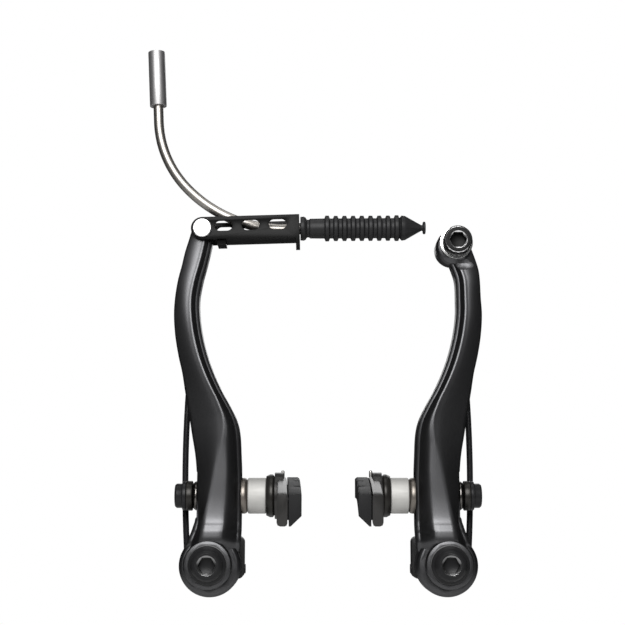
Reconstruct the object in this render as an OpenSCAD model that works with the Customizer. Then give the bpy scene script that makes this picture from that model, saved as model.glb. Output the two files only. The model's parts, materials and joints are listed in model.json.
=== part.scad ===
// Linear-pull rim brake: two tall arms on frame studs, a pull link with a bent guide
// tube and rubber boot on the left arm, and a cable clamp on the right arm.
// X runs across the wheel, Y runs to the rear and Z runs up. The origin lies midway
// between the two pivot axes, on the level of the pad posts.

/* [Arms] */
// distance between the two pivot axes
stud_pitch = 80; // [76:0.5:86]
// radius of the round foot of each arm
foot_r = 10.3; // [9:0.1:12]
// distance of the foot's centre from the pivot, towards the wheel
foot_in = 0.5; // [0:0.1:1]
// distance of the foot's centre below the pivot
foot_down = 0.4; // [0:0.1:1]
// radius of the raised ring in front of the foot
ring_r = 8; // [7.6:0.1:9]
// front face of the raised ring
ring_front = -9; // [-10:0.1:-8.5]
// back face of the foot
foot_back = 4.2; // [3.5:0.1:5]
// flat at the inner side of the arm where the pad washers bear
seat_in = 29.3; // [28.8:0.1:30]
// flat at the outer side of the arm where the nut washers bear
seat_out = 44.1; // [43:0.1:45]

/* [Pivots] */
// bore of the sleeve that slides over the frame stud
sleeve_bore_r = 4.1; // [4.05:0.01:4.3]
// outer radius of the sleeve
sleeve_r = 5.5; // [5.3:0.1:5.8]
// front end of the sleeve
sleeve_front = -9.2; // [-10:0.1:-9]
// back end of the sleeve, which stands on the frame
sleeve_back = 12; // [11:0.1:14]
// running clearance between the sleeve and its bush
bush_gap = 0.05; // [0.02:0.01:0.09]
// outer radius of the bush
bush_r = 6.5; // [6.3:0.1:7]
// radius of the pivot bolt thread
pivot_thread_r = 2.9; // [2.8:0.05:3]
// radius of the pivot bolt flange
pivot_head_r = 6.3; // [6:0.1:6.4]

/* [Return springs] */
// radius of the spring wire
wire_r = 1.05; // [0.8:0.05:1.2]
// radius of the wire's end that goes into the frame
pin_end_r = 0.85; // [0.7:0.05:0.9]
// mean radius of the coil
coil_r = 7.9; // [7:0.1:8]
// depth of the coil behind the arm's middle plane
coil_y = 8.2; // [7.6:0.1:9]
// radius of the moulded case around the coil
case_r = 10.1; // [10:0.1:10.4]
// distance of the case's lug face from the pivot
lug_in = 11.5; // [11:0.1:12]
// height up to which the leg reaches
leg_top = 77; // [60:1:80]
// radius of the bow in the leg
leg_bow = 450; // [300:10:900]

/* [Pads] */
// height of the pad posts over the pivots
post_z = 22.7; // [18:0.1:27]
// radius of the pad post
post_r = 2.95; // [2.9:0.01:3]
// half width of the slot in the arm
slot_half = 3.25; // [3.2:0.01:3.4]
// travel of the post each way in the slot
slot_travel = 5; // [3:0.5:6]
// distance from the wheel's middle plane to the pad face
pad_face = 9.6; // [6:0.1:14]
// radius of the rim's brake track that the pad follows
pad_radius = 280; // [250:5:320]
// length of the pad
pad_length = 70; // [50:1:75]
// nose-down tilt of the pads
pad_tilt = 5; // [0:0.5:8]
// toe-in, by which the front ends of the pads stand closer together
toe_in = 1.2; // [0:0.1:1.5]
// radius of the spacer between arm and pad
spacer_r = 6; // [5.5:0.1:6.5]

/* [Link] */
// sideways position of the link pin
pin_x = -43.2; // [-46:0.1:-40]
// height of the link pin
pin_z = 113.7; // [110:0.1:116]
// upward tilt of the link
link_tilt = 1.8; // [0:0.1:4]
// width of the link over its two side plates
link_width = 12; // [11:0.1:13]
// thickness of the link's sheet
sheet = 1.4; // [1.2:0.1:1.6]
// half height of the side plates
plate_h = 3.9; // [3.5:0.1:4.3]
// length from the pin to the outer face of the end plate
link_len = 33.4; // [32:0.1:35]
// shank radius of the link pin
link_pin_r = 2.5; // [2.2:0.1:3]

/* [Guide tube] */
// outer radius of the bent tube
tube_r = 1.75; // [1.6:0.05:2]
// bend radius of the tube's upper stretch
tube_bend = 37.2; // [32:0.1:40]
// bend radius of the tube's wider lower stretch
tube_sweep = 46.5; // [42:0.1:60]
// outer radius of the housing socket
socket_r = 2.95; // [2.9:0.05:3.2]
// bore radius of the housing socket
socket_bore_r = 2.55; // [2.5:0.01:2.6]
// length of the housing socket
socket_len = 19.8; // [16:0.1:22]
// radius of the collar that stops the tube in the link
collar_r = 2.4; // [2.2:0.05:2.4]
// radius of the nose that goes through the end plate
nose_r = 2; // [1.9:0.05:2.1]

/* [Boot] */
// angle by which the soft boot hangs below the tube's axis
boot_droop = 1.4; // [0:0.1:2]
// radius over the ribs
rib_r = 4.4; // [4:0.1:5]
// radius in the grooves
groove_r = 3.5; // [3:0.1:4]
// distance from rib to rib
rib_pitch = 3.02; // [2.8:0.01:3.3]
// number of ribs
ribs = 9; // [6:1:11]

/* [Cable anchor] */
// sideways position of the anchor bolt
anchor_x = 44.2; // [42:0.1:46]
// height of the anchor bolt
anchor_z = 109; // [106:0.1:112]
// radius of the round head of the right arm
anchor_boss_r = 6; // [5:0.1:7]
// front face of the round head
anchor_face = -3.8; // [-5:0.1:-3]

/* [Hidden] */
$fn = 64;
px = stud_pitch / 2;
black = [0.09, 0.09, 0.1];
steel = [0.72, 0.72, 0.74];
plastic = [0.14, 0.14, 0.15];

// Height, inner edge, outer edge, front and back of the arm at a few levels.
trunk = [
    [-3, 31.6, 48.2, -4.6, 3.9],
    [3, 30.2, 48.7, -5.6, 3.9],
    [7, 29.5, 47.3, -8.3, 4.3],
    [10.5, 29.3, 45.9, -8.5, 5.3],
    [15, 29.2, 44.6, -7.5, 6.2],
    [21, 29.2, 44.2, -6.7, 6.5],
    [29, 29.2, 44.2, -6.5, 6.5],
    [36, 29.5, 44.8, -6.5, 6.5],
    [43, 29.9, 46.0, -6.6, 6.4],
    [48, 31.0, 46.8, -6.6, 6.3],
    [53, 33.4, 47.7, -6.5, 6.2],
    [58, 36.2, 48.6, -6.3, 6.0],
    [64, 39.0, 49.6, -6.0, 5.8],
    [70, 41.2, 51.0, -5.7, 5.6],
    [77, 43.0, 52.2, -5.4, 5.4],
    [84, 44.0, 52.7, -5.2, 5.2],
    [90, 44.1, 52.4, -5.0, 5.0]
];
top_left = [
    [96, 43.1, 51.5, -4.8, 4.8],
    [101, 41.8, 50.3, -4.5, 4.5],
    [106, 40.6, 49.2, -4.25, 4.25],
    [110, 39.9, 48.0, -4.2, 4.2],
    [113.5, 40.0, 47.0, -4.2, 4.2]
];
top_right = [
    [96, 43.9, 52.2, -4.8, 4.9],
    [100, 42.8, 51.8, -4.2, 4.9],
    [104, 41.2, 50.7, -3.6, 4.9],
    [108, 40.0, 49.3, -3.4, 4.9]
];

// The levels above the waist are stretched with the height of the arm's upper end.
waist = 53;
function stretched(list, top, drawn_top) = [for (v = list)
    v[0] <= waist ? v : [
        waist + (v[0] - waist) * (top - waist) / (drawn_top - waist), v[1], v[2], v[3], v[4]
    ]];

// Smooth curve through neighbouring values.
function bend4(a, b, c, d, t) =
    b + 0.5 * t * (c - a + t * (2 * a - 5 * b + 4 * c - d + t * (3 * (b - c) + d - a)));
function at(list, u) =
    let (n = len(list), i = min(floor(u), n - 2), t = u - i)
    bend4(list[max(i - 1, 0)], list[i], list[i + 1], list[min(i + 2, n - 1)], t);

// One level of the arm: a flat crest on the front, a chamfer from it to the inner edge, a
// long slope to the outer edge and rounded back corners. The crest's two sides are given
// as shares of the width, counted from the inner edge.
in_n = 3;
out_n = 4;
front_n = in_n + out_n + 2;
back_n = 5;
function crest_in(z) = lookup(z, [
    [8, 0.36], [21, 0.36], [31, 0.3], [41, 0.28], [52, 0.21], [62, 0.2], [75, 0.25],
    [88, 0.22], [110, 0.22]
]);
function crest_out(z) = lookup(z, [
    [8, 0.62], [15, 0.67], [21, 0.7], [31, 0.6], [38, 0.46], [46, 0.33], [52, 0.27],
    [62, 0.27], [75, 0.34], [88, 0.33], [110, 0.3]
]);
function drop_in(z) = lookup(z, [
    [0, 1.2], [10, 2.4], [18, 3.2], [30, 3.2], [55, 2.7], [75, 2], [100, 1.5], [112, 1.2]
]);
function drop_out(z) = lookup(z, [
    [0, 1.2], [10, 1.8], [21, 2.2], [31, 2.5], [55, 2.4], [65, 1.8], [80, 1.3], [112, 1]
]);
function ring_of(v) =
    let (
        z = v[0], w = v[2] - v[1], r = min(2.2, w * 0.28),
        a = crest_in(z), b = crest_out(z)
    )
    concat(
        [for (k = [0 : in_n]) let (s = k / in_n)
            [v[1] + w * a * s, v[3] + drop_in(z) * pow(1 - s, 1.25), z]],
        [[v[1] + w * (a + b) / 2, v[3] - 0.05, z]],
        [for (k = [0 : out_n]) let (s = k / out_n)
            [v[1] + w * (b + (1 - b) * s), v[3] + drop_out(z) * pow(s, 1.3), z]],
        [for (k = [0 : back_n - 1]) let (a = 90 * k / (back_n - 1))
            [v[2] - r + r * cos(a), v[4] - r + r * sin(a), z]],
        [for (k = [0 : back_n - 1]) let (a = 90 + 90 * k / (back_n - 1))
            [v[1] + r + r * cos(a), v[4] - r + r * sin(a), z]]
    );
ring_n = front_n + 1 + 2 * back_n;
steps = 2;

module loft(list) {
    rows = (len(list) - 1) * steps + 1;
    pts = [for (i = [0 : rows - 1]) each ring_of(at(list, i / steps))];
    last = (rows - 1) * ring_n;
    sides = [for (i = [0 : rows - 2], k = [0 : ring_n - 1])
        let (a = i * ring_n + k, b = i * ring_n + (k + 1) % ring_n)
        each [[a, a + ring_n, b + ring_n], [a, b + ring_n, b]]];
    bottom = [[for (k = [0 : ring_n - 1]) k]];
    top = [[for (k = [ring_n - 1 : -1 : 0]) last + k]];
    polyhedron(points = pts, faces = concat(bottom, sides, top), convexity = 6);
}

// A cylinder along Y from y0 to y1.
module rod_y(x, z, r, y0, y1) {
    translate([x, y0, z]) rotate([-90, 0, 0]) cylinder(r = r, h = y1 - y0);
}

// A cylinder along X from x0 to x1 at the pad post.
module rod_x(r, x0, x1, r2 = -1) {
    translate([x0, 0, post_z]) rotate([0, 90, 0])
        cylinder(r1 = r, r2 = r2 < 0 ? r : r2, h = x1 - x0);
}

// Parts are drawn for the right side and mirrored for the left.
module side(s) {
    if (s == "left") mirror([1, 0, 0]) children();
    else children();
}

// A flat shape around the pivot, drawn in X and Z, from depth y0 to depth y1.
module slab_y(y0, y1) {
    translate([px, y1, 0]) rotate([90, 0, 0]) linear_extrude(y1 - y0) children();
}

// Outline of the spring case: round, with a rounded lug towards the wheel.
lug_low = -5.1;
lug_high = 9;
lug_round = 2;
module case_outline(gap) {
    circle(r = case_r + gap);
    for (z = [lug_low + lug_round, lug_high - lug_round])
        translate([lug_round - lug_in, z]) circle(r = lug_round + gap, $fn = 32);
    translate([-lug_in - gap, lug_low + lug_round])
        square([8, lug_high - lug_low - 2 * lug_round]);
    translate([lug_round - lug_in, lug_low - gap])
        square([6, lug_high - lug_low + 2 * gap]);
}

// A slot along X through which the pad post passes, half_w wide each way.
module post_slot(half_w, travel, x0, x1) {
    for (t = [-travel, travel]) translate([0, 0, t]) rod_x(half_w, x0, x1);
    translate([x0, -half_w, post_z - travel]) cube([x1 - x0, 2 * half_w, 2 * travel]);
}

module arm_common(list) {
    foot_x = px - foot_in;
    difference() {
        union() {
            loft(list);
            rod_y(foot_x, -foot_down, foot_r, -4, foot_back);
            translate([foot_x, -4, -foot_down]) rotate([90, 0, 0])
                cylinder(r1 = foot_r, r2 = foot_r - 1, h = 1);
            rod_y(px, 0, ring_r, ring_front, 0);
            children(0);
        }
        rod_y(px, 0, bush_r, ring_front - 1, foot_back + 1);
        post_slot(slot_half, slot_travel, 26, 50);
        // flats for the washers on both sides
        translate([seat_in - 4, -10, post_z - 11.5]) cube([4, 20, 24]);
        post_slot(washer_r + 0.15, slot_travel - 1, seat_out, seat_out + 5);
        // flat for the spring case
        slab_y(foot_back, foot_back + 8) case_outline(0.2);
        rod_y(stud_x, stud_z, stud_r, 2.4, 8);
        children(1);
    }
}

module arm_left() {
    color(black) mirror([1, 0, 0]) arm_common(
        stretched(concat(trunk, top_left), pin_z, 113.7)
    ) {
        rod_y(-pin_x, pin_z, 3.8, -4.2, 4.2);
        rod_y(-pin_x, pin_z, link_pin_r + 0.04, -6, 6);
    }
}

module arm_right() {
    color(black) arm_common(
        stretched(concat(trunk, top_right), anchor_z, 109)
    ) {
        rod_y(anchor_x - 0.8, anchor_z - 1.2, anchor_boss_r, anchor_face, 5.4);
        union() {
            rod_y(anchor_x, anchor_z, 2.95, anchor_face - 1, 6);
            // groove for the cable across the face of the head
            translate([anchor_x - 9, anchor_face, anchor_z + 3.9]) rotate([0, 90, 0])
                cylinder(r = 0.8, h = 18);
        }
    }
}

module pivot_sleeve() {
    color(steel) difference() {
        rod_y(px, 0, sleeve_r, sleeve_front, sleeve_back);
        rod_y(px, 0, sleeve_bore_r, sleeve_front - 1, sleeve_back + 1);
    }
}

module pivot_bush() {
    color(plastic) difference() {
        rod_y(px, 0, bush_r, ring_front, foot_back);
        rod_y(px, 0, sleeve_r + bush_gap, ring_front - 1, foot_back + 1);
    }
}

// Flanged dome-headed bolt with a hexagon socket.
module pivot_bolt() {
    color(black) difference() {
        translate([px, sleeve_front, 0]) rotate([90, 0, 0]) rotate_extrude() polygon([
            [0, -16.2], [2.4, -16.2], [pivot_thread_r, -15.6], [pivot_thread_r, 0],
            [pivot_head_r, 0], [pivot_head_r, 0.9], [pivot_head_r - 0.5, 1.4],
            [5.4, 1.7], [5.1, 2.6], [4.5, 3.5], [3.9, 3.9], [0, 3.9]
        ]);
        translate([px, sleeve_front - 1.2, 0]) rotate([90, 0, 0])
            cylinder(r = 5 / sqrt(3), h = 4, $fn = 6);
        translate([px, sleeve_front - 3.3, 0]) rotate([90, 0, 0])
            cylinder(r1 = 2.5, r2 = 3.4, h = 0.7);
    }
}

// Torsion spring: a frame pin, an open coil and a long bowed leg up behind the arm.
lean = 4.2;
bow_z = (leg_bow - coil_r) * sin(lean);
bow_x = px + (coil_r - leg_bow) * cos(lean);
function leg_x(z) = bow_x + sqrt(leg_bow * leg_bow - (z - bow_z) * (z - bow_z));
stud_r = 1.3;
stud_z = leg_top - 1.5;
stud_x = leg_x(stud_z) + wire_r + 0.25 + stud_r;
module spring() {
    color(black) {
        translate([px, coil_y, 0]) rotate([90, 0, 0]) rotate([0, 0, -300])
            rotate_extrude(angle = 300 - lean) translate([coil_r, 0])
            circle(r = wire_r + 0.03, $fn = 32);
        translate([px, coil_y, 0]) rotate([0, -60, 0]) translate([coil_r, 0, 0]) {
            sphere(r = wire_r + 0.1, $fn = 32);
            rotate([-90, 0, 0]) cylinder(r = wire_r + 0.03, h = 3.6, $fn = 32);
            rotate([-90, 0, 0]) cylinder(r = pin_end_r, h = 8.8, $fn = 32);
        }
        translate([bow_x, coil_y, bow_z]) rotate([90, 0, 0])
            rotate([0, 0, -lean - 0.003])
            rotate_extrude(angle = lean + asin((leg_top - bow_z) / leg_bow), $fn = 400)
            translate([leg_bow, 0]) circle(r = wire_r, $fn = 32);
    }
}

// Moulded cup behind the foot that covers the coil, with a lug for the setting screw.
module spring_case() {
    color(plastic) difference() {
        slab_y(foot_back, 11.7) case_outline(0);
        rod_y(px, 0, sleeve_r + 0.4, foot_back - 1, 13);
        difference() {
            rod_y(px, 0, case_r - 0.8, foot_back + 1.4, 13);
            rod_y(px, 0, sleeve_r + 0.9, foot_back, 14);
        }
        translate([px + 5, foot_back + 1.4, -3]) cube([8, 8, 14]);
        translate([px - lug_in - 2, coil_y, screw_z]) rotate([0, 90, 0])
            cylinder(r = screw_r, h = 5);
    }
}

screw_r = 1.6;
screw_z = -1.9;
module tension_screw() {
    color(steel) translate([px - lug_in - 0.4, coil_y, screw_z]) rotate([0, 90, 0])
        difference() {
            cylinder(r = screw_r, h = lug_in - coil_r - wire_r + 0.2);
            translate([0, 0, -1]) cylinder(r = 1.15, h = 2.4, $fn = 6);
        }
}

module spring_stud() {
    color(steel) {
        rod_y(stud_x, stud_z, stud_r, 2.4, 9.6);
        rod_y(stud_x, stud_z, stud_r + 0.7, 9.6, 10.4);
    }
}

// Turned about the middle of the pad, with the toe-in and then the tilt.
module on_pad() {
    translate([14.2, 0, post_z]) rotate([0, 0, -toe_in]) translate([-14.2, 0, 0])
        rotate([pad_tilt, 0, 0]) children();
}

// Bar bent around the wheel's axle, from one angle to another.
module rim_arc(a0, a1) {
    on_pad() translate([0, 0, -pad_radius]) rotate([0, 90, 0]) rotate([0, 0, 180 + a0])
        rotate_extrude(angle = a1 - a0, $fn = 360) translate([pad_radius, 0]) children();
}

half_angle = asin(pad_length / 2 / pad_radius);
// the holder is closed at its front end by a wall, given as an angle, and the rubber's
// rib stops a little short of it
end_wall = asin(1.7 / pad_radius);
end_gap = asin(0.15 / pad_radius);

module pad_rubber() {
    color(plastic) difference() {
        union() {
            rim_arc(-half_angle, half_angle) polygon([
                [-1.3, pad_face], [5.2, pad_face], [5.6, pad_face + 0.5], [5.6, 13.6],
                [-4.6, 13.6], [-4.6, pad_face + 3.4]
            ]);
            rim_arc(-half_angle + 0.02, half_angle - end_wall - end_gap) polygon([
                [2.95, 13.5], [2.95, 14.85], [3.95, 14.85], [3.95, 16],
                [-3.95, 16], [-3.95, 14.85], [-2.95, 14.85], [-2.95, 13.5]
            ]);
        }
        // grooves across the face that shed water
        for (a = [-4.4, -1.5, 1.5, 4.4]) rim_arc(a - 0.15, a + 0.15)
            translate([-7, pad_face - 1]) square([14, 3.2]);
        pin_hole();
    }
}

// Channel that holds the rubber, with a round boss for the post.
module pad_holder() {
    color([0.2, 0.18, 0.16]) difference() {
        union() {
            rim_arc(-half_angle, half_angle) polygon([
                [-3.6, 14], [-4.35, 14.3], [-4.6, 14.9], [-4.6, 16.3], [-4.25, 17.1],
                [-3.4, 17.4], [4.8, 17.4], [5.35, 17.1], [5.6, 16.6], [5.6, 14.6],
                [5.35, 14.15], [4.8, 14]
            ]);
            rod_x(7.8, 15, 18);
        }
        rim_arc(-half_angle - 1, half_angle - end_wall) polygon([
            [-3.05, 13.4], [3.05, 13.4], [3.05, 14.75], [4.05, 14.75], [4.05, 16.1],
            [-4.05, 16.1], [-4.05, 14.75], [-3.05, 14.75]
        ]);
        rod_x(post_r, 14, 19);
        pin_hole();
    }
}

module at_pad_pin() {
    on_pad() translate([15.2, pad_length / 2 - 6, 0]) children();
}

module pin_hole() {
    at_pad_pin() translate([0, 0, -1.6]) cylinder(r = 0.6, h = 10);
}

module pad_pin() {
    color(steel) at_pad_pin() {
        translate([0, 0, -1.6]) cylinder(r = 0.6, h = 7.9);
        translate([0, 0, 6.3]) cylinder(r1 = 0.6, r2 = 0.3, h = 0.4);
    }
}

module pad_post() {
    color(steel) rod_x(post_r, 16.8, nut_in + 1.4);
}

module pad_cup() {
    color(plastic) translate([0, 0, post_z]) rotate([0, 90, 0]) rotate_extrude() polygon([
        [slot_half, 18.05], [6.4, 18.05], [7.2, 18.7], [7.2, 19.6], [6.6, 20.9],
        [slot_half, 20.9]
    ]);
}

module pad_spacer() {
    color(steel) translate([0, 0, post_z]) rotate([0, 90, 0]) rotate_extrude() polygon([
        [slot_half, 20.9], [spacer_r - 0.3, 20.9], [spacer_r, 21.2], [spacer_r, 26.8],
        [spacer_r - 0.3, 27.1], [slot_half, 27.1]
    ]);
}

module inner_washer() {
    color([0.35, 0.32, 0.3]) translate([0, 0, post_z]) rotate([0, 90, 0]) rotate_extrude()
        polygon([
            [slot_half, 27.1], [5.2, 27.1], [5.8, 27.6], [6, 28.2], [6, 29.25],
            [slot_half, 29.25]
        ]);
}

// Washers and nut at the arm's outer side, stacked outwards from the flat.
washer_r = 5;
cup_in = seat_out + 1.65;
nut_in = cup_in + 2.1;
module outer_ball() {
    x = seat_out + 0.05;
    color(steel) translate([0, 0, post_z]) rotate([0, 90, 0]) rotate_extrude() polygon([
        [slot_half, x], [washer_r - 0.1, x], [washer_r - 0.1, x + 0.5],
        [washer_r - 0.7, x + 1.2], [washer_r - 1.1, cup_in], [slot_half, cup_in]
    ]);
}

module outer_cup() {
    color(plastic) translate([0, 0, post_z]) rotate([0, 90, 0]) rotate_extrude() polygon([
        [slot_half, cup_in], [washer_r - 0.1, cup_in], [washer_r, cup_in + 0.2],
        [washer_r, nut_in - 0.25], [washer_r - 0.2, nut_in - 0.05],
        [slot_half, nut_in - 0.05]
    ]);
}

module pad_nut() {
    color(black) difference() {
        translate([0, 0, post_z]) rotate([0, 90, 0]) rotate_extrude() polygon([
            [0, nut_in], [4.8, nut_in], [4.9, nut_in + 0.15], [4.9, nut_in + 1.1],
            [4.7, nut_in + 1.3], [4.1, nut_in + 1.4], [4.1, nut_in + 3.2],
            [3.6, nut_in + 3.8], [0, nut_in + 3.8]
        ]);
        rod_x(post_r, 46, nut_in + 1.4);
        translate([nut_in + 1.9, 0, post_z]) rotate([0, 90, 0])
            cylinder(r = 5 / sqrt(3), h = 3, $fn = 6);
    }
}

// Parts of the link are drawn with the pin at the origin and the tube along X.
module on_link() {
    translate([pin_x, 0, pin_z]) rotate([0, -link_tilt, 0]) children();
}

module window(x) {
    for (d = [-1.25, 1.25]) translate([x + d, -8, 0.7]) rotate([-90, 0, 0])
        cylinder(r = 1.85, h = 16);
    translate([x - 1.25, -8, -1.15]) cube([2.5, 16, 3.7]);
}

module link() {
    half = link_width / 2;
    color(black) on_link() difference() {
        union() {
            for (y = [-half, half - sheet]) {
                translate([0, y, 0]) rotate([-90, 0, 0]) cylinder(r = plate_h, h = sheet);
                translate([0, y, -plate_h]) cube([link_len, sheet, 2 * plate_h]);
            }
            translate([4.9, -half, -plate_h]) cube([link_len - 4.9, link_width, sheet]);
            translate([4.9, -half + 1.5, -5.4]) cube([3, link_width - 3, 2]);
            translate([link_len - sheet, -half, -6.4]) cube([sheet, link_width, 6.4 + plate_h]);
        }
        for (k = [0 : 2]) window(7.3 + k * (link_len - 14.8) / 2);
        translate([0, -8, 0]) rotate([-90, 0, 0]) cylinder(r = link_pin_r, h = 16);
        // round hole for the tube's nose, with a slot above it that lets the bare cable out
        translate([link_len - 3, 0, 0]) rotate([0, 90, 0]) cylinder(r = nose_r + 0.1, h = 5);
        translate([link_len - 3, -1.2, 0]) cube([5, 2.4, 6]);
    }
}

module link_pin() {
    half = link_width / 2;
    color(steel) translate([pin_x, 0, pin_z]) rotate([90, 0, 0]) rotate_extrude() polygon([
        [0, -half - 1], [2.9, -half - 1], [3.2, -half - 0.7], [3.2, -half],
        [link_pin_r, -half], [link_pin_r, half], [3.2, half], [3.2, half + 0.8],
        [2.9, half + 1.1], [0, half + 1.1]
    ]);
}

// The tube's path: straight through the end plate, a wide bend, a tighter bend, then
// straight up to the socket.
bend_x = link_len - 4.1;
sweep_turn = 49;
bend_turn = 89;
up_len = 5.7;
join = 0.02;
bend_cx = bend_x - (tube_sweep - tube_bend) * sin(sweep_turn);
bend_cz = tube_sweep - (tube_sweep - tube_bend) * cos(sweep_turn);

// Bar bent around a centre in the link's plane, between two angles from straight down.
module tube_arc(x, z, bend, r, a0, a1) {
    translate([x, 0, z]) rotate([90, 0, 0]) rotate([0, 0, -90 - a1])
        rotate_extrude(angle = a1 - a0, $fn = 180) translate([bend, 0]) circle(r = r);
}

module tube_path(r, x_end, top) {
    translate([bend_x - join, 0, 0]) rotate([0, 90, 0]) cylinder(r = r, h = x_end - bend_x + join);
    tube_arc(bend_x, tube_sweep, tube_sweep, r - join, 0, sweep_turn);
    tube_arc(bend_cx, bend_cz, tube_bend, r - 2 * join, sweep_turn - 0.04, bend_turn);
    at_bend_end() translate([0, 0, -join]) cylinder(r = r, h = top + join);
}

// The upper end of the bends, with Z along the tube.
module at_bend_end() {
    translate([bend_cx - tube_bend * sin(bend_turn), 0, bend_cz - tube_bend * cos(bend_turn)])
        rotate([0, bend_turn - 90, 0]) children();
}

module guide_tube() {
    color(steel) on_link() difference() {
        tube_path(tube_r, link_len + 3.6, up_len + 1.5);
        tube_path(1.2, link_len + 4.6, up_len + 3);
    }
}

module guide_liner() {
    color([0.9, 0.9, 0.88]) on_link() difference() {
        tube_path(1.17, link_len + 4.2, up_len + 1.4);
        tube_path(0.9, link_len + 5.6, up_len + 3);
    }
}

module guide_socket() {
    color(steel) on_link() at_bend_end() translate([0, 0, up_len]) difference() {
        cylinder(r = socket_r, h = socket_len);
        translate([0, 0, -1]) cylinder(r = tube_r, h = 5);
        translate([0, 0, 5.5]) cylinder(r = socket_bore_r, h = socket_len);
        translate([0, 0, 1]) cylinder(r = 1.2, h = 10);
    }
}

// Collar inside the link and nose through its end plate.
module guide_tip() {
    stop = link_len - sheet - 0.1;
    color(steel) on_link() rotate([0, 90, 0]) rotate_extrude() polygon([
        [tube_r, stop - 2.4], [collar_r - 0.3, stop - 2.4], [collar_r, stop - 2],
        [collar_r, stop], [nose_r, stop], [nose_r, link_len + 5.4],
        [tube_r, link_len + 5.4]
    ]);
}

// Bellows boot over the nose of the tube, open at both ends for the cable.
boot_x0 = link_len + 0.3;
function boot_outer() = concat(
    [[0, 4.1], [1.2, 4.2], [1.8, 3.9], [2.3, 3.1], [3, 3.1], [3.4, 3.45], [7, 3.5]],
    [for (i = [0 : ribs - 1], p = [0 : 3])
        let (c = 9.3 + i * rib_pitch) [
            c + [-0.95, -0.6, 0.6, 0.95][p],
            p == 0 || p == 3 ? groove_r : (i == 0 || i == ribs - 1 ? rib_r + 0.1 : rib_r)
        ]],
    [[35.2, 4.4], [36.4, 4.2], [42, 1.05], [42.5, 1], [42.6, 2], [42.8, 2.2],
     [43.3, 2.2], [43.5, 2]]
);
module boot() {
    color(plastic) on_link() translate([boot_x0, 0, 0]) rotate([0, 90 + boot_droop, 0])
        rotate_extrude() polygon([for (p = concat(
            boot_outer(),
            [[43.5, 0.7], [42, 0.7], [35, 2.3], [9, 2.3], [5.4, 2.25], [0, 2.25]]
        )) [p[1], p[0]]]);
}

module anchor_bolt() {
    color(steel) difference() {
        translate([anchor_x, anchor_face - 1.2, anchor_z]) rotate([90, 0, 0]) rotate_extrude()
            polygon([
                [0, -10], [2.5, -10], [2.95, -9.5], [2.95, 0], [4.9, 0], [4.9, 4.9],
                [4.3, 5.5], [0, 5.5]
            ]);
        translate([anchor_x, anchor_face - 3.5, anchor_z]) rotate([90, 0, 0])
            cylinder(r = 5 / sqrt(3), h = 6, $fn = 6);
        translate([anchor_x, anchor_face - 6.3, anchor_z]) rotate([90, 0, 0])
            cylinder(r1 = 2.5, r2 = 3.2, h = 0.5);
    }
}

module anchor_washer() {
    color(steel) difference() {
        rod_y(anchor_x, anchor_z, 5.65, anchor_face - 1.2, anchor_face);
        rod_y(anchor_x, anchor_z, 2.95, anchor_face - 2, anchor_face + 1);
    }
}

arm_left();
arm_right();
side("left") pivot_sleeve();  // pivot_sleeve_left
side("right") pivot_sleeve();  // pivot_sleeve_right
side("left") pivot_bush();  // pivot_bush_left
side("right") pivot_bush();  // pivot_bush_right
side("left") pivot_bolt();  // pivot_bolt_left
side("right") pivot_bolt();  // pivot_bolt_right
side("left") spring();  // spring_left
side("right") spring();  // spring_right
side("left") spring_case();  // spring_case_left
side("right") spring_case();  // spring_case_right
side("left") tension_screw();  // tension_screw_left
side("right") tension_screw();  // tension_screw_right
side("left") spring_stud();  // spring_stud_left
side("right") spring_stud();  // spring_stud_right
side("left") pad_rubber();  // pad_rubber_left
side("right") pad_rubber();  // pad_rubber_right
side("left") pad_holder();  // pad_holder_left
side("right") pad_holder();  // pad_holder_right
side("left") pad_pin();  // pad_pin_left
side("right") pad_pin();  // pad_pin_right
side("left") pad_post();  // pad_post_left
side("right") pad_post();  // pad_post_right
side("left") pad_cup();  // pad_cup_left
side("right") pad_cup();  // pad_cup_right
side("left") pad_spacer();  // pad_spacer_left
side("right") pad_spacer();  // pad_spacer_right
side("left") inner_washer();  // inner_washer_left
side("right") inner_washer();  // inner_washer_right
side("left") outer_ball();  // outer_ball_left
side("right") outer_ball();  // outer_ball_right
side("left") outer_cup();  // outer_cup_left
side("right") outer_cup();  // outer_cup_right
side("left") pad_nut();  // pad_nut_left
side("right") pad_nut();  // pad_nut_right
link();
link_pin();
guide_tube();
guide_socket();
guide_tip();
guide_liner();
boot();
anchor_bolt();
anchor_washer();
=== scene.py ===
import json
import math

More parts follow.
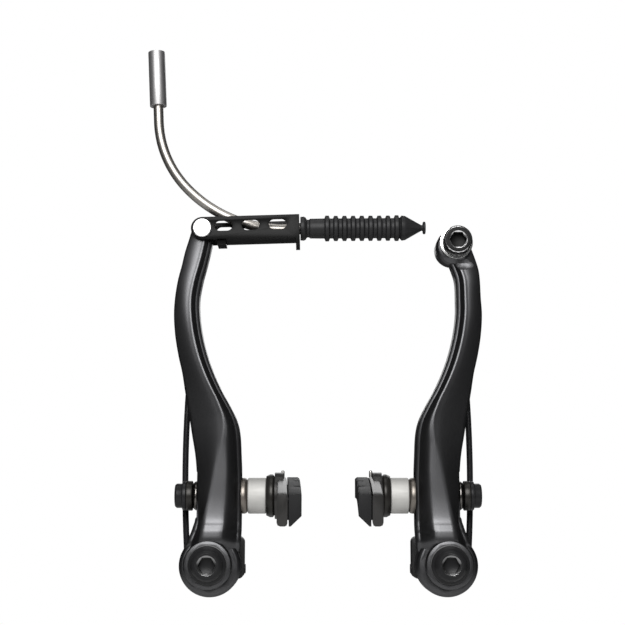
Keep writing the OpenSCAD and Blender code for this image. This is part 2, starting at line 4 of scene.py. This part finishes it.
import bmesh
import bpy
from mathutils import Matrix, Vector
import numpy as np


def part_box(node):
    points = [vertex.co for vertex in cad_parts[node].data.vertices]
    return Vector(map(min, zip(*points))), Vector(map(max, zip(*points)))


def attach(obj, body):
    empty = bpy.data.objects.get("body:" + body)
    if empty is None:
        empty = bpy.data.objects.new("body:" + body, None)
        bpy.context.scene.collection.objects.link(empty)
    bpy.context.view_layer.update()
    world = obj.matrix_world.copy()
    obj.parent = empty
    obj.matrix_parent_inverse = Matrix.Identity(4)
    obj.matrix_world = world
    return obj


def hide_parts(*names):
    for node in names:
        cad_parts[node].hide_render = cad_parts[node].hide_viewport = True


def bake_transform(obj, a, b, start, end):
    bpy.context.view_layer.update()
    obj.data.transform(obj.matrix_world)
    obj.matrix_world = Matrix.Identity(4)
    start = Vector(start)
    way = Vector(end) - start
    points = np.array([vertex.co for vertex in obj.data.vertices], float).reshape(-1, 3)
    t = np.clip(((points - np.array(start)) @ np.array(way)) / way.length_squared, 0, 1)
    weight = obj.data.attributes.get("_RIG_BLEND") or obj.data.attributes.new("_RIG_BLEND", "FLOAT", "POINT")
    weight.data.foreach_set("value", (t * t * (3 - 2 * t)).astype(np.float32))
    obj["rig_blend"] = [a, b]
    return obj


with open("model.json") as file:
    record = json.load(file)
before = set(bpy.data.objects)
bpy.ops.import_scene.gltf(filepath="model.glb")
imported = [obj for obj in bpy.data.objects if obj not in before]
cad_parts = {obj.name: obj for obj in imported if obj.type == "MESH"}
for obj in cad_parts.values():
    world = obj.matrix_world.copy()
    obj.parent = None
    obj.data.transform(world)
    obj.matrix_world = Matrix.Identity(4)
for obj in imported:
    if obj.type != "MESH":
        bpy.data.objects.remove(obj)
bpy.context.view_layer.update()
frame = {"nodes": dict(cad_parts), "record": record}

MM = 0.001
nodes = frame["nodes"]
slots = {s["node"]: s["material_slot"] for s in frame["record"]["subparts"]}
body_of = {n: b for b, ns in frame["record"]["behaviour"]["bodies"].items() for n in ns}
scene = bpy.context.scene


def middle(node):
    """Centre of a CAD node's box at rest, in millimetres."""
    low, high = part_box(node)
    return [round((a + b) / 2 / MM, 2) for a, b in zip(low, high)]


# places on the right side, in millimetres; the left side is its mirror image
PIVOT_X = middle("pivot_bolt_right")[0]
POST_Z = middle("pad_post_right")[2]
STUD_X, _, STUD_Z = middle("spring_stud_right")
CLAMP_X, _, CLAMP_Z = middle("anchor_bolt")
PIN_X, _, PIN_Z = middle("link_pin")
PIN_X = abs(PIN_X)


# materials

MOTTLE_SCALE = 90.0
ROUGHNESS_SPREAD = 0.08

# depth is the bump's depth in millimetres; vary is the share by which the colour varies
FINISHES = {
    "arm_black": dict(color=(0.058, 0.058, 0.06), rough=0.35, metal=0.95, grain=2600,
                      bump=0.12, depth=0.012, vary=0.1),
    "link_black": dict(color=(0.004, 0.004, 0.004), rough=0.34, metal=0.0, grain=2600,
                       bump=0.1, depth=0.012, vary=0.15, spec=0.05),
    # painted highlight: bright and grey finishes laid on the broken edges of bolt heads and their sockets'
    # rims
    "edge_painted_highlight": dict(color=(0.6, 0.6, 0.6), rough=0.3, metal=1.0, grain=1800,
                        bump=0.1, depth=0.01, vary=0.1),
    "edge_painted_highlight_grey": dict(color=(0.22, 0.22, 0.22), rough=0.3, metal=1.0, grain=1800,
                      bump=0.1, depth=0.01, vary=0.1),
    "clamp_black": dict(color=(0.008, 0.008, 0.008), rough=0.34, metal=0.0, grain=2000,
                        bump=0.12, depth=0.012, vary=0.2, spec=0.04),
    "bolt_black": dict(color=(0.012, 0.012, 0.0125), rough=0.3, metal=0.0, grain=2000,
                       bump=0.12, depth=0.012, vary=0.2, spec=0.1),
    "wire_black": dict(color=(0.012, 0.012, 0.013), rough=0.2, metal=0.2, grain=1500,
                       bump=0.08, depth=0.01, vary=0.2),
    "bright_steel": dict(color=(0.4, 0.39, 0.375), rough=0.32, metal=1.0, grain=1500,
                         bump=0.15, depth=0.01, vary=0.12),
    "ball_steel": dict(color=(0.1, 0.095, 0.09), rough=0.28, metal=1.0, grain=1500,
                       bump=0.12, depth=0.01, vary=0.12),
    "washer_bright": dict(color=(0.7, 0.7, 0.69), rough=0.25, metal=1.0, grain=1500,
                          bump=0.1, depth=0.01, vary=0.1),
    "pin_silver": dict(color=(0.86, 0.86, 0.86), rough=0.45, metal=1.0, grain=1800,
                       bump=0.15, depth=0.01, vary=0.05),
    "tube_polished": dict(color=(0.3, 0.285, 0.265), rough=0.42, metal=1.0, grain=1200,
                          bump=0.04, depth=0.006, vary=0.08),
    "socket_silver": dict(color=(0.36, 0.355, 0.355), rough=0.5, metal=1.0, grain=900,
                          bump=0.12, depth=0.01, vary=0.06, stretch=(1, 1, 0.06)),
    "spacer_silver": dict(color=(0.46, 0.455, 0.44), rough=0.75, metal=1.0, grain=2200,
                          bump=0.3, depth=0.02, vary=0.05, stretch=(0.08, 1, 1)),
    "washer_dark": dict(color=(0.15, 0.135, 0.12), rough=0.42, metal=1.0, grain=1500,
                        bump=0.15, depth=0.012, vary=0.2),
    "cup_black": dict(color=(0.018, 0.017, 0.0155), rough=0.35, metal=0.5, grain=1500,
                      bump=0.15, depth=0.012, vary=0.3, spec=0.2),
    "holder_dark": dict(color=(0.03, 0.029, 0.028), rough=0.36, metal=0.7, grain=1800,
                        bump=0.2, depth=0.015, vary=0.25),
    "case_plastic": dict(color=(0.01, 0.01, 0.01), rough=0.4, metal=0.0, grain=1600,
                         bump=0.2, depth=0.02, vary=0.2, spec=0.2),
    "bush_plastic": dict(color=(0.03, 0.03, 0.03), rough=0.45, metal=0.0, grain=1600,
                         bump=0.2, depth=0.02, vary=0.2),
    "liner_white": dict(color=(0.8, 0.8, 0.77), rough=0.4, metal=0.0, grain=1600,
                        bump=0.1, depth=0.01, vary=0.05),
    "pad_rubber": dict(color=(0.011, 0.011, 0.0115), rough=0.6, metal=0.0, grain=2200,
                       bump=0.4, depth=0.05, vary=0.3, spec=0.12),
    "boot_rubber": dict(color=(0.01, 0.01, 0.0105), rough=0.48, metal=0.0, grain=2200,
                        bump=0.25, depth=0.02, vary=0.2, spec=0.18),
}


def new_material(name):
    mat = bpy.data.materials.new(name)
    mat.use_nodes = True
    tree = mat.node_tree
    return mat, tree, tree.nodes["Principled BSDF"]


def add(tree, kind, **inputs):
    """A shader node with the given input values."""
    node = tree.nodes.new(kind)
    for key, value in inputs.items():
        node.inputs[key].default_value = value
    return node


def rgba(color):
    return (*color, 1.0)


def material(name, color, rough, metal, grain, bump, depth, vary, stretch=(1, 1, 1), spec=0.5):
    """A finish with a mottled colour, and a fine grain in its roughness and surface."""
    mat, tree, shader = new_material(name)
    link = tree.links.new
    place = tree.nodes.new("ShaderNodeTexCoord")
    mapping = add(tree, "ShaderNodeMapping", Scale=stretch)
    link(place.outputs["Object"], mapping.inputs["Vector"])
    fine = add(tree, "ShaderNodeTexNoise", Scale=grain, Detail=4.0, Roughness=0.6)
    broad = add(tree, "ShaderNodeTexNoise", Scale=MOTTLE_SCALE, Detail=3.0, Roughness=0.5)
    link(mapping.outputs["Vector"], fine.inputs["Vector"])
    link(place.outputs["Object"], broad.inputs["Vector"])

    mix = tree.nodes.new("ShaderNodeMix")
    mix.data_type = "RGBA"
    mix.inputs["A"].default_value = rgba([c * (1 - vary) for c in color])
    mix.inputs["B"].default_value = rgba([min(1.0, c * (1 + vary)) for c in color])
    link(broad.outputs["Fac"], mix.inputs["Factor"])
    link(mix.outputs["Result"], shader.inputs["Base Color"])

    span = tree.nodes.new("ShaderNodeMapRange")
    span.inputs["To Min"].default_value = rough - ROUGHNESS_SPREAD
    span.inputs["To Max"].default_value = rough + ROUGHNESS_SPREAD
    link(fine.outputs["Fac"], span.inputs["Value"])
    link(span.outputs["Result"], shader.inputs["Roughness"])
    shader.inputs["Metallic"].default_value = metal
    shader.inputs["Specular IOR Level"].default_value = spec

    relief = add(tree, "ShaderNodeBump", Strength=bump, Distance=depth * MM)
    link(fine.outputs["Fac"], relief.inputs["Height"])
    link(relief.outputs["Normal"], shader.inputs["Normal"])
    return mat


MATS = {name: material(name, **finish) for name, finish in FINISHES.items()}


# meshes

def helper(mesh, name="tmp"):
    ob = bpy.data.objects.new(name, mesh)
    scene.collection.objects.link(ob)
    return ob


def show(name, mesh, node, mat=None):
    """A piece that stands for a CAD node and rides on its body."""
    ob = helper(mesh, name)
    ob.data.materials.clear()
    ob.data.materials.append(mat or MATS[slots[node]])
    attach(ob, body_of[node])
    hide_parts(node)
    return ob


def smooth(mesh, angle=32.0):
    """Smooth shading, apart from edges sharper than the angle."""
    for face in mesh.polygons:
        face.use_smooth = True
    mesh.set_sharp_from_angle(angle=math.radians(angle))


def bake(ob):
    """The object's mesh with its modifiers applied."""
    deps = bpy.context.evaluated_depsgraph_get()
    mesh = bpy.data.meshes.new_from_object(ob.evaluated_get(deps))
    bpy.data.objects.remove(ob)
    return mesh


def to_mesh(bm):
    mesh = bpy.data.meshes.new("m")
    bm.to_mesh(mesh)
    bm.free()
    return mesh


def skin(bm, rings):
    """Faces between neighbouring rings, which all have as many points."""
    count = len(rings[0])
    for a, b in zip(rings, rings[1:]):
        for k in range(count):
            k2 = (k + 1) % count
            bm.faces.new((a[k], a[k2], b[k2], b[k]))


def closed_skin(rings):
    """A closed body through rings of points in millimetres, flat at both ends."""
    bm = bmesh.new()
    verts = [[bm.verts.new([c * MM for c in point]) for point in ring] for ring in rings]
    skin(bm, verts)
    bm.faces.new(list(reversed(verts[0])))
    bm.faces.new(verts[-1])
    bmesh.ops.recalc_face_normals(bm, faces=bm.faces)
    return to_mesh(bm)


def rod_mesh(start, end, r, segments=96):
    """A cylinder from start to end, in millimetres."""
    a, b = Vector(start) * MM, Vector(end) * MM
    along = b - a
    turn = along.to_track_quat("Z", "Y").to_matrix().to_4x4()
    bm = bmesh.new()
    bmesh.ops.create_cone(bm, cap_ends=True, segments=segments, radius1=r * MM, radius2=r * MM,
                          depth=along.length, matrix=Matrix.Translation((a + b) / 2) @ turn)
    return to_mesh(bm)


def hole(x, z, front, back, r, segments=96):
    """A cutter for a round hole along Y."""
    return rod_mesh((x, front, z), (x, back, z), r, segments)


def box_mesh(lo, hi):
    centre = [(a + b) / 2 * MM for a, b in zip(lo, hi)]
    size = [(b - a) * MM for a, b in zip(lo, hi)]
    bm = bmesh.new()
    bmesh.ops.create_cube(bm, size=1.0,
                          matrix=Matrix.Translation(centre) @ Matrix.Diagonal((*size, 1)))
    return to_mesh(bm)


def turned(x, z, profile, segments=128):
    """A closed body turned about an axis along Y; profile lists depth and radius."""
    angles = [2 * math.pi * k / segments for k in range(segments)]
    return closed_skin([[(x + r * math.cos(a), y, z + r * math.sin(a)) for a in angles]
                        for y, r in profile])


def slot_cutter(half, travel, x0, x1, steps=48):
    """Upright slot through which the pad post passes, from x0 to x1."""
    outline = []
    for side in (1, -1):
        for k in range(steps + 1):
            a = math.pi * k / steps
            outline.append((side * half * math.cos(a),
                            POST_Z + side * (travel + half * math.sin(a))))
    return closed_skin([[(x, y, z) for y, z in outline] for x in (x0, x1)])


def cut(mesh, others, operation="DIFFERENCE"):
    ob = helper(mesh)
    helpers = [helper(other) for other in others]
    for other in helpers:
        step = ob.modifiers.new(operation, "BOOLEAN")
        step.object = other
        step.operation = operation
        step.solver = "EXACT"
    mesh = bake(ob)
    for other in helpers:
        bpy.data.objects.remove(other)
    return mesh


def join(mesh, others):
    return cut(mesh, others, "UNION")


def mirrored(mesh):
    mesh.transform(Matrix.Diagonal((-1, 1, 1, 1)))
    mesh.flip_normals()
    return mesh


WELD = 2e-6
FLAT_ANGLE = math.radians(0.6)
BEVEL_ANGLE = math.radians(34)


def from_cad(node, bevel):
    """The CAD node's own mesh, welded, with its edges broken by bevel millimetres."""
    mesh = nodes[node].data.copy()
    bm = bmesh.new()
    bm.from_mesh(mesh)
    bmesh.ops.remove_doubles(bm, verts=bm.verts, dist=WELD)
    if bevel:
        bmesh.ops.dissolve_limit(bm, angle_limit=FLAT_ANGLE, verts=bm.verts, edges=bm.edges)
    bm.to_mesh(mesh)
    bm.free()
    mesh.materials.clear()
    for attribute in list(mesh.attributes):
        if attribute.name in ("custom_normal", "sharp_face", "sharp_edge"):
            mesh.attributes.remove(attribute)
    if bevel:
        ob = helper(mesh)
        step = ob.modifiers.new("bevel", "BEVEL")
        step.width = bevel * MM
        step.segments = 2
        step.limit_method = "ANGLE"
        step.angle_limit = BEVEL_ANGLE
        step.use_clamp_overlap = True
        mesh = bake(ob)
    smooth(mesh)
    return mesh


# arms

# levels of the right arm: height, inner edge, outer edge, front and back, in millimetres
TRUNK = [
    (-3, 31.6, 48.2, -4.6, 3.9), (3, 30.2, 48.7, -5.6, 3.9), (7, 29.5, 47.3, -8.3, 4.3),
    (10.5, 29.3, 45.9, -8.5, 5.3), (12.6, 29.2, 45.2, -7.95, 5.9), (15, 29.2, 44.6, -7.15, 6.2),
    (21, 29.2, 44.2, -6.65, 6.5), (29, 29.2, 44.2, -6.5, 6.5), (36, 29.5, 44.8, -6.5, 6.5),
    (43, 29.9, 46.0, -6.6, 6.4), (48, 31.0, 46.8, -6.6, 6.3), (53, 33.4, 47.7, -6.5, 6.2),
    (58, 36.2, 48.6, -6.3, 6.0), (64, 39.0, 49.6, -6.0, 5.8), (70, 41.2, 51.0, -5.7, 5.6),
    (77, 43.0, 52.2, -5.4, 5.4), (84, 44.0, 52.7, -5.2, 5.2), (90, 44.1, 52.4, -5.0, 5.0),
]
TOP_LEFT = [
    (96, 43.1, 51.5, -4.8, 4.8), (101, 41.8, 50.3, -4.5, 4.5), (106, 40.6, 49.2, -4.25, 4.25),
    (110, 39.9, 48.0, -4.2, 4.2), (113.5, 40.0, 47.0, -4.2, 4.2),
]
TOP_RIGHT = [
    (96, 43.9, 52.2, -4.8, 4.9), (100, 42.8, 51.8, -4.2, 4.9), (104, 41.2, 50.7, -3.6, 4.9),
    (108, 40.0, 49.3, -3.4, 4.9),
]
# by height: where the crest starts and ends, from the inner edge
CREST_IN = [(8, 6.2), (14, 5.9), (21, 5.6), (31, 5.2), (40.5, 5.3), (50, 3.4), (56, 2.6),
            (110, 2.4)]
CREST_OUT = [(8, 13.4), (13, 13.2), (21, 11.0), (31, 9.0), (40.5, 6.6), (50, 4.4), (56, 3.6),
             (110, 3.4)]
# by height: how far the slopes beside the crest fall back, and the power of their curve
DROP_IN = [(0, 1.0), (5, 3.0), (10.5, 4.2), (15, 3.5), (21, 3.1), (30, 3.0), (45, 2.6), (56, 1.9),
           (75, 1.6), (100, 1.4), (112, 1.1)]
DROP_OUT = [(0, 1.0), (5, 2.6), (10.5, 3.6), (15, 2.9), (21, 2.6), (31, 3.3), (40, 3.5),
            (50, 3.3), (60, 2.9), (75, 2.1), (95, 1.3), (112, 1.1)]
CURVE_IN = [(10, 1.3), (20, 1.6), (45, 1.9), (54, 1.1), (110, 1.1)]
CURVE_OUT = [(8, 1.3), (24, 1.25), (50, 1.3), (76, 1.4), (92, 1.9), (110, 2.0)]
# by height: width of the band along the outer edge, which ends above the foot
BAND_OUT = [(5, 1.9), (12, 1.9), (18, 0.9), (24, 0.0)]
BAND_IN = 1.25
# rounding of the front's edges: step from the edge, and depth past the foot of the slope
EDGE_IN = [(0, 0.75), (0.08, 0.4), (0.3, 0.15), (1.1, 0)]
EDGE_OUT = [(0.01, 0.2), (0.005, 0.4), (0, 0.7)]
BAND_EDGE_OUT = 0.16
LEAST_BAND = 0.1
LEAST_SLOPE = 0.8
CREST_SAG = 0.02
CREST_EDGE = 0.08
BAND_STEP = 0.05
BACK_ROUND, BACK_SHARE = 2.2, 0.28
ARM_SMOOTH = 72
LEVEL_STEPS, IN_STEPS, OUT_STEPS, CREST_STEPS, BACK_STEPS = 7, 8, 10, 4, 8

# bores and seats machined into the forged arm
PIVOT_BORE, CASE_SEAT, STUD_BORE, PIN_BORE, CLAMP_BORE = 6.5, 10.3, 1.3, 2.54, 2.95
SLOT_HALF, SLOT_TRAVEL = 3.25, 5
BALL_HALF, BALL_TRAVEL, BALL_SEAT_X = 5.15, 4, 44.1
WASHER_SEAT_X = 29.3
GROOVE_R, GROOVE_Y, GROOVE_RISE = 0.8, -3.8, 3.9
STEP_R, STEP_Y, STEP_Z = 3.2, -6.4, 102.0


def lookup(z, table):
    """A table's value at a height, straight between its rows."""
    if z <= table[0][0]:
        return table[0][1]
    for (a, va), (b, vb) in zip(table, table[1:]):
        if z <= b:
            return va + (vb - va) * (z - a) / (b - a)
    return table[-1][1]


def at(rows, u):
    """A level between the rows, on a smooth curve through all of them."""
    i = min(int(u), len(rows) - 2)
    t = u - i
    around = (rows[max(i - 1, 0)], rows[i], rows[i + 1], rows[min(i + 2, len(rows) - 1)])
    return [q + 0.5 * t * (r - p + t * (2 * p - 5 * q + 4 * r - s + t * (3 * (q - r) + s - p)))
            for p, q, r, s in zip(*around)]


def front_marks(z, width):
    """The front of a level: steps from the inner edge, and depths behind the crest."""
    drop_in, drop_out = lookup(z, DROP_IN), lookup(z, DROP_OUT)
    crest_in, crest_out = lookup(z, CREST_IN), lookup(z, CREST_OUT)
    rim = lookup(z, BAND_OUT)
    end = max(width - rim, crest_out + LEAST_SLOPE)
    marks = [(x, drop_in + depth) for x, depth in EDGE_IN]
    power = lookup(z, CURVE_IN)
    for k in range(IN_STEPS + 1):
        t = 1 - k / IN_STEPS
        marks.append((BAND_IN + (crest_in - BAND_IN) * (1 - t),
                      CREST_EDGE + (drop_in - BAND_STEP - CREST_EDGE) * t ** power))
    for k, depth in ((1, CREST_SAG), (2, 0), (3, CREST_SAG)):
        marks.append((crest_in + (crest_out - crest_in) * k / CREST_STEPS, depth))
    power = lookup(z, CURVE_OUT)
    for k in range(OUT_STEPS + 1):
        t = k / OUT_STEPS
        marks.append((crest_out + (end - crest_out) * t,
                      CREST_EDGE + (drop_out - CREST_EDGE) * t ** power))
    rounding = EDGE_OUT
    if rim >= LEAST_BAND:
        rounding = [(width - end - rim * 0.3, 0.1), (rim * 0.2, BAND_EDGE_OUT), EDGE_OUT[-1]]
    return marks + [(width - x, drop_out + depth) for x, depth in rounding]


def level(row):
    """One level of the arm: inner band, slope, crest, outer face, rounded back."""
    z, inner, outer, front, back = row
    width = outer - inner
    r = min(BACK_ROUND, width * BACK_SHARE)
    ring = [(inner + x, front + y, z) for x, y in front_marks(z, width)]
    for x, start in ((outer - r, 0), (inner + r, 1)):
        for k in range(BACK_STEPS + 1):
            a = math.pi / 2 * (start + k / BACK_STEPS)
            ring.append((x + r * math.cos(a), back - r + r * math.sin(a), z))
    return ring


def arm_trunk(rows):
    count = (len(rows) - 1) * LEVEL_STEPS + 1
    return closed_skin([level(at(rows, i / LEVEL_STEPS)) for i in range(count)])


def arm_foot():
    """Round foot around the pivot, and the raised ring on its front."""
    disc = turned(PIVOT_X - 0.5, -0.4, [(-5, 9.1), (-4.85, 9.45), (-4.3, 10.1), (-4, 10.3),
                                        (3.8, 10.3), (4.2, 9.9)])
    ring = turned(PIVOT_X, 0, [(-9, 7.5), (-8.9, 7.75), (-8.6, 8), (1, 8)])
    return [disc, ring]


def arm_cutters():
    """Cutters that both arms share: pivot, pad slot with its seats, stud and spring case."""
    return [
        hole(PIVOT_X, 0, -12, 8, PIVOT_BORE),
        slot_cutter(SLOT_HALF, SLOT_TRAVEL, 26, 50),
        box_mesh((WASHER_SEAT_X - 4, -10, POST_Z - 11.5), (WASHER_SEAT_X, 10, POST_Z + 12.5)),
        slot_cutter(BALL_HALF, BALL_TRAVEL, BALL_SEAT_X, BALL_SEAT_X + 5),
        hole(STUD_X, STUD_Z, 2.4, 8, STUD_BORE, 48),
        hole(PIVOT_X, 0, 4.2, 12, CASE_SEAT),
    ]


def left_arm():
    """Forged body with an eye for the link pin, machined, then mirrored to its side."""
    eye = turned(PIN_X, PIN_Z, [(-4.2, 3.5), (-3.9, 3.8), (3.9, 3.8), (4.2, 3.5)])
    body = join(arm_trunk(TRUNK + TOP_LEFT), arm_foot() + [eye])
    pin_hole = hole(PIN_X, PIN_Z, -6, 6, PIN_BORE, 64)
    mesh = mirrored(cut(body, arm_cutters() + [pin_hole]))
    smooth(mesh, ARM_SMOOTH)
    return mesh


def right_arm():
    """Forged body with the round clamp head, machined."""
    head = turned(CLAMP_X - 0.8, CLAMP_Z - 1.2,
                  [(-3.8, 5.2), (-3.6, 5.5), (-2.9, 6), (5.0, 6), (5.4, 5.6)])
    body = join(arm_trunk(TRUNK + TOP_RIGHT), arm_foot() + [head])
    groove_z = CLAMP_Z + GROOVE_RISE
    mesh = cut(body, arm_cutters() + [
        hole(CLAMP_X, CLAMP_Z, -5, 6.5, CLAMP_BORE, 64),
        # cable groove, then the rounded step down below the clamp
        rod_mesh((CLAMP_X - 9, GROOVE_Y, groove_z), (CLAMP_X + 9, GROOVE_Y, groove_z), GROOVE_R, 32),
        rod_mesh((36, STEP_Y, STEP_Z), (56, STEP_Y, STEP_Z), STEP_R),
    ])
    smooth(mesh, ARM_SMOOTH)
    return mesh


show("arm_left_forged", left_arm(), "arm_left")
show("arm_right_forged", right_arm(), "arm_right")


# guide tube and its liner

# route in the link's plane, in millimetres and degrees, with the link pin at the origin
BEND_X = 29.3
SWEEP_R, SWEEP_END = 46.5, 49
BEND_R, BEND_END = 37.2, 89
ARC_STEPS = 40
LINK_RISE = 1.8
TUBE_SMOOTH = 50


def tube_route(near_x, top):
    """Points of the route and its direction, from near_x to a straight top end."""
    route = [(near_x + (BEND_X - near_x) * k / 4, 0, 0) for k in range(4)]
    for k in range(ARC_STEPS + 1):
        a = math.radians(SWEEP_END * k / ARC_STEPS)
        route.append((BEND_X - SWEEP_R * math.sin(a), SWEEP_R - SWEEP_R * math.cos(a), a))
    cx = BEND_X - (SWEEP_R - BEND_R) * math.sin(math.radians(SWEEP_END))
    cz = SWEEP_R - (SWEEP_R - BEND_R) * math.cos(math.radians(SWEEP_END))
    for k in range(1, ARC_STEPS + 1):
        a = math.radians(SWEEP_END + (BEND_END - SWEEP_END) * k / ARC_STEPS)
        route.append((cx - BEND_R * math.sin(a), cz - BEND_R * math.cos(a), a))
    x, z, a = route[-1]
    return route + [(x - top * k / 2 * math.cos(a), z + top * k / 2 * math.sin(a), a)
                    for k in (1, 2)]


def tube(r, bore, near_x, top, segments=48):
    """A bent tube with open ends, as one smooth skin."""
    bm = bmesh.new()
    route = tube_route(near_x, top)
    walls = []
    for radius in (r, bore):
        rings = []
        for x, z, a in route:
            ring = []
            for k in range(segments):
                w = 2 * math.pi * k / segments
                u, v = radius * math.cos(w), radius * math.sin(w)
                ring.append(bm.verts.new((x + u * math.sin(a), v, z + u * math.cos(a))))
            rings.append(ring)
        skin(bm, rings)
        walls.append(rings)
    for end in (0, -1):
        skin(bm, [wall[end] for wall in walls])
    bmesh.ops.recalc_face_normals(bm, faces=bm.faces)
    mesh = to_mesh(bm)
    mesh.transform(Matrix.Translation((-PIN_X * MM, 0, PIN_Z * MM))
                   @ Matrix.Rotation(math.radians(-LINK_RISE), 4, "Y") @ Matrix.Scale(MM, 4))
    smooth(mesh, TUBE_SMOOTH)
    return mesh


TUBES = {
    "guide_tube": dict(r=1.74, bore=1.21, near_x=36.9, top=7.1),
    "guide_liner": dict(r=1.16, bore=0.91, near_x=37.5, top=7.0),
}


# the other pieces, from the CAD meshes

# width of the broken edges in millimetres, where it isn't the usual one
USUAL_EDGE = 0.12
SOFT_EDGE = {"link": 0.2, "boot": 0.25, "pad_rubber_left": 0.15, "pad_rubber_right": 0.15,
             "spring_left": 0, "spring_right": 0}
OTHER_LOOK = {"outer_ball_left": "ball_steel", "outer_ball_right": "ball_steel",
              "anchor_bolt": "clamp_black", "tension_screw_left": "bolt_black",
              "tension_screw_right": "bolt_black"}
# bolts whose head edges and socket rims get a painted highlight
BOLT_EDGE_HIGHLIGHT = {"anchor_bolt": "edge_painted_highlight", "pivot_bolt_left": "edge_painted_highlight_grey",
        "pivot_bolt_right": "edge_painted_highlight_grey"}


# faces with painted highlight slant to the front, ahead of a depth and within distances from the bolt's axis
LEAST_SLANT, MOST_SLANT = 0.4, 0.97
CLAMP_FRONT, CLAMP_SOCKET, CLAMP_CHAMFER, CLAMP_EDGE = -10.2, 3.3, 4.2, 4.5
PIVOT_FRONT, PIVOT_SOCKET = -12.6, 3.45


def on_edge(name, c):
    """Does a face of a bolt lie on the chamfer of its head or on its socket's rim?"""
    if name == "anchor_bolt":
        far = math.hypot(c.x - CLAMP_X, c.z - CLAMP_Z)
        return c.y < CLAMP_FRONT and (CLAMP_CHAMFER < far < CLAMP_EDGE or far < CLAMP_SOCKET)
    return c.y < PIVOT_FRONT and math.hypot(abs(c.x) - PIVOT_X, c.z) < PIVOT_SOCKET


def show_spring(name, mesh):
    """The wire bends between the coil and the free length of its leg."""
    wire = helper(mesh, name + "_shown")
    wire.data.materials.append(MATS[slots[name]])
    x = -0.04 if name == "spring_left" else 0.04
    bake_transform(wire, "frame_side", name[7:] + "_arm", start=(x, 0.0082, 0.0085),
             end=(x, 0.0082, 0.025))
    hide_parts(name)


def paint_edge_highlight(piece, name):
    """Painted highlight on the bolt's slanting edge faces."""
    piece.data.materials.append(MATS[BOLT_EDGE_HIGHLIGHT[name]])
    for face in piece.data.polygons:
        if LEAST_SLANT < -face.normal.y < MOST_SLANT and on_edge(name, face.center / MM):
            face.material_index = 1


for name in sorted(nodes):
    if name in ("arm_left", "arm_right"):
        continue
    if name in TUBES:
        mesh = tube(**TUBES[name])
    else:
        mesh = from_cad(name, SOFT_EDGE.get(name, USUAL_EDGE))
    if name in ("spring_left", "spring_right"):
        show_spring(name, mesh)
        continue
    piece = show(name + "_shown", mesh, name, MATS.get(OTHER_LOOK.get(name)))
    # painted highlight on the edges of the bolt heads
    if name in BOLT_EDGE_HIGHLIGHT:
        paint_edge_highlight(piece, name)


# studio

def area(name, place, aim, size, power):
    lamp = bpy.data.lights.new(name, "AREA")
    lamp.shape = "RECTANGLE"
    lamp.size, lamp.size_y = size
    lamp.energy = power
    ob = bpy.data.objects.new(name, lamp)
    scene.collection.objects.link(ob)
    ob.location = place
    ob.rotation_euler = (Vector(aim) - Vector(place)).to_track_quat("-Z", "Y").to_euler()


area("front", (-0.05, -0.68, 0.42), (0, 0, 0.05), (0.5, 0.5), 11.0)
area("top", (0.0, 0.0, 0.9), (0, 0, 0.07), (0.6, 0.4), 2.0)
area("back", (0.1, 0.9, 0.45), (0, 0, 0.05), (0.7, 0.5), 2.0)

# the world is white to the camera and dim to everything else
world = bpy.data.worlds.new("world")
scene.world = world
world.use_nodes = True
sky = world.node_tree
sky.nodes.clear()
out = sky.nodes.new("ShaderNodeOutputWorld")
pick = sky.nodes.new("ShaderNodeMixShader")
ray = sky.nodes.new("ShaderNodeLightPath")
seen = add(sky, "ShaderNodeBackground", Color=(1, 1, 1, 1), Strength=1.0)
lit = add(sky, "ShaderNodeBackground", Color=(0.95, 0.97, 1.0, 1), Strength=0.04)
sky.links.new(ray.outputs["Is Camera Ray"], pick.inputs[0])
sky.links.new(lit.outputs[0], pick.inputs[1])
sky.links.new(seen.outputs[0], pick.inputs[2])
sky.links.new(pick.outputs[0], out.inputs[0])

# floor, in millimetres
FLOOR_HALF, FLOOR_TOP, FLOOR_THICK = 600, -202, 10
floor_mat, tree, shader = new_material("floor")
shader.inputs["Base Color"].default_value = (0.9, 0.9, 0.9, 1)
shader.inputs["Roughness"].default_value = 0.9
grain = add(tree, "ShaderNodeTexNoise", Scale=40.0)
relief = add(tree, "ShaderNodeBump", Strength=0.05, Distance=0.0005)
tree.links.new(grain.outputs["Fac"], relief.inputs["Height"])
tree.links.new(relief.outputs["Normal"], shader.inputs["Normal"])
floor = helper(box_mesh((-FLOOR_HALF, -FLOOR_HALF, FLOOR_TOP - FLOOR_THICK),
                        (FLOOR_HALF, FLOOR_HALF, FLOOR_TOP)), "floor")
floor.data.materials.append(floor_mat)

# camera: low in front of the brake, looking slightly up
TILT, YAW = math.radians(8.25), math.radians(0.3)
DISTANCE = 0.443
SENSOR = 36.0
# in pixels of the photograph: its side, the focal length, and where the frame's origin lies
SIDE, FOCAL = 625.0, 1320.0
ORIGIN_X, ORIGIN_Y = 328.3, 564.0

ahead = Vector((math.cos(TILT) * math.sin(YAW), math.cos(TILT) * math.cos(YAW), math.sin(TILT)))
right = Vector((math.cos(YAW), -math.sin(YAW), 0))
up = right.cross(ahead)
pixel = DISTANCE / FOCAL
eye = (up * ((ORIGIN_Y - SIDE / 2) * pixel) - right * ((ORIGIN_X - SIDE / 2) * pixel)
       - ahead * DISTANCE)
cam = bpy.data.cameras.new("camera")
cam.sensor_width = SENSOR
cam.lens = SENSOR * FOCAL / SIDE
cam.clip_start = 0.01
cam.clip_end = 20
cam_ob = bpy.data.objects.new("camera", cam)
scene.collection.objects.link(cam_ob)
pose = Matrix((right, up, -ahead)).transposed().to_4x4()
pose.translation = eye
cam_ob.matrix_world = pose
scene.camera = cam_ob
scene.view_settings.view_transform = "Standard"
